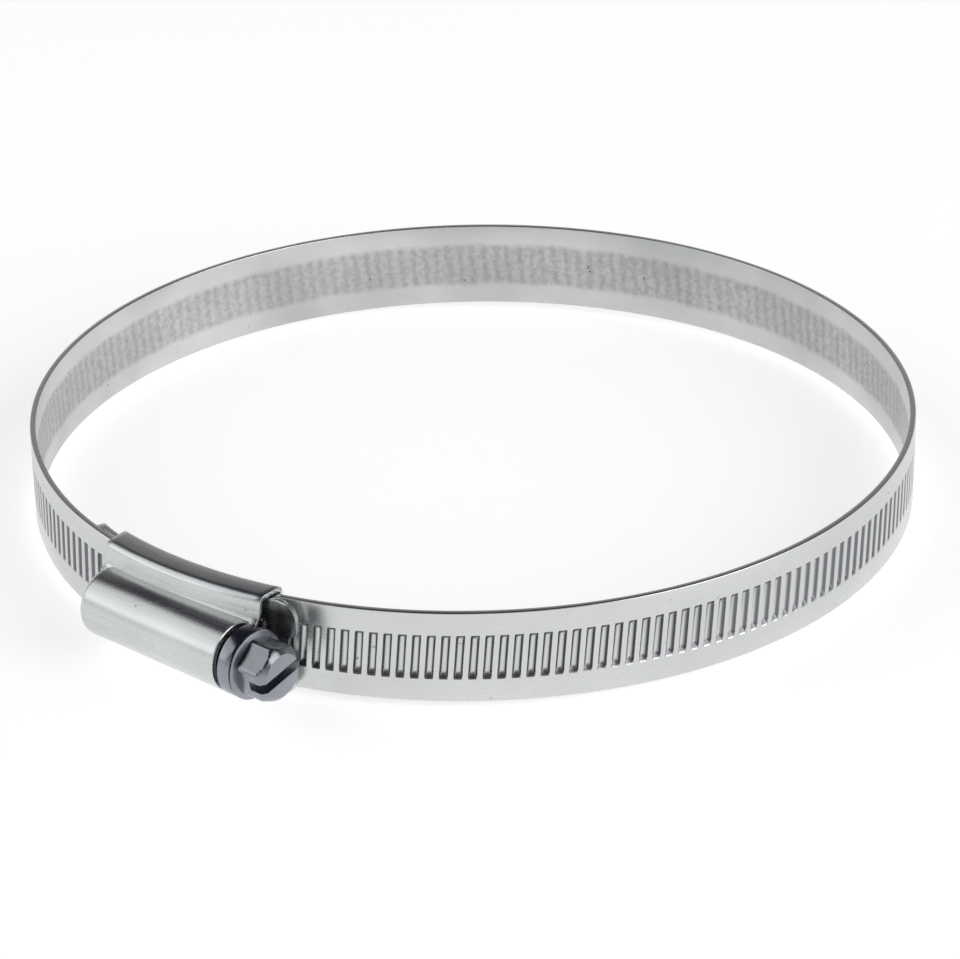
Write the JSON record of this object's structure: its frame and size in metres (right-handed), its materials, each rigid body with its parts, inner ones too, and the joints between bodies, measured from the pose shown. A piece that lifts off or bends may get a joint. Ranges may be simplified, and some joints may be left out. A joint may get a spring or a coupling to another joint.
{
  "type": "hose clamp",
  "caption": "Worm-drive hose clamp: a slotted steel strip bent to a ring, a pressed housing and a captive screw with a slotted hexagon head.",
  "frame": {"origin": "on the axis of the clamp's ring, at half the strip's width", "axes": "+Z along the ring's axis (the hose's axis), +X along the worm screw towards its head, -Y from the ring's axis towards the housing"},
  "size_m": [0.1225, 0.1308, 0.0146],
  "materials": {
    "housing_steel": "polished pressed stainless sheet",
    "screw_steel": "bright turned steel, slightly blue",
    "band_steel": "satin stainless strip"
  },
  "bodies": {
    "housing": {"housing": "housing_steel", "band_fixed": "band_steel", "band_start": "band_steel"},
    "screw": {"worm_screw": "screw_steel"},
    "band_link_01": {"band_link_01": "band_steel"},
    "band_link_02": {"band_link_02": "band_steel"},
    "band_link_03": {"band_link_03": "band_steel"},
    "band_link_04": {"band_link_04": "band_steel"},
    "band_link_05": {"band_link_05": "band_steel"},
    "band_link_06": {"band_link_06": "band_steel"},
    "band_link_07": {"band_link_07": "band_steel"},
    "band_link_08": {"band_link_08": "band_steel"},
    "free_end": {"band_free": "band_steel"}
  },
  "joints": [
    {"name": "screw_turn", "type": "hinge", "parent": "housing", "child": "screw", "pos_m": [0.0045, -0.0649, 0], "axis": [-1, 0, 0], "range_deg": [0, 2880]},
    {"name": "band_flex_01", "type": "hinge", "parent": "housing", "child": "band_link_01", "pos_m": [0.02489, -0.05503, 0], "axis": [0, 0, 1], "range_deg": [0, 1.97]},
    {"name": "band_flex_02", "type": "hinge", "parent": "band_link_01", "child": "band_link_02", "pos_m": [0.05341, -0.02821, 0], "axis": [0, 0, 1], "range_deg": [0, 1.14]},
    {"name": "band_flex_03", "type": "hinge", "parent": "band_link_02", "child": "band_link_03", "pos_m": [0.05949, 0.01046, 0], "axis": [0, 0, 1], "range_deg": [0, 1.23]},
    {"name": "band_flex_04", "type": "hinge", "parent": "band_link_03", "child": "band_link_04", "pos_m": [0.04058, 0.04473, 0], "axis": [0, 0, 1], "range_deg": [0, 1.64]},
    {"name": "band_flex_05", "type": "hinge", "parent": "band_link_04", "child": "band_link_05", "pos_m": [0.00463, 0.06022, 0], "axis": [0, 0, 1], "range_deg": [0, 1.84]},
    {"name": "band_flex_06", "type": "hinge", "parent": "band_link_05", "child": "band_link_06", "pos_m": [-0.03326, 0.05042, 0], "axis": [0, 0, 1], "range_deg": [0, 1.55]},
    {"name": "band_flex_07", "type": "hinge", "parent": "band_link_06", "child": "band_link_07", "pos_m": [-0.05719, 0.01943, 0], "axis": [0, 0, 1], "range_deg": [0, 1.07]},
    {"name": "band_flex_08", "type": "hinge", "parent": "band_link_07", "child": "band_link_08", "pos_m": [-0.05709, -0.01971, 0], "axis": [0, 0, 1], "range_deg": [0, 0.8987]},
    {"name": "band_flex_09", "type": "hinge", "parent": "band_link_08", "child": "free_end", "pos_m": [-0.03302, -0.05058, 0], "axis": [0, 0, 1], "range_deg": [0, 2.42]}
  ],
  "couplings": [
    {"joint": "band_flex_01", "follows": "screw_turn", "ratio": 0.00068421},
    {"joint": "band_flex_02", "follows": "screw_turn", "ratio": 0.00039383},
    {"joint": "band_flex_03", "follows": "screw_turn", "ratio": 0.00042783},
    {"joint": "band_flex_04", "follows": "screw_turn", "ratio": 0.0005687},
    {"joint": "band_flex_05", "follows": "screw_turn", "ratio": 0.00063831},
    {"joint": "band_flex_06", "follows": "screw_turn", "ratio": 0.00053946},
    {"joint": "band_flex_07", "follows": "screw_turn", "ratio": 0.00037106},
    {"joint": "band_flex_08", "follows": "screw_turn", "ratio": 0.00031171},
    {"joint": "band_flex_09", "follows": "screw_turn", "ratio": 0.00083954}
  ]
}
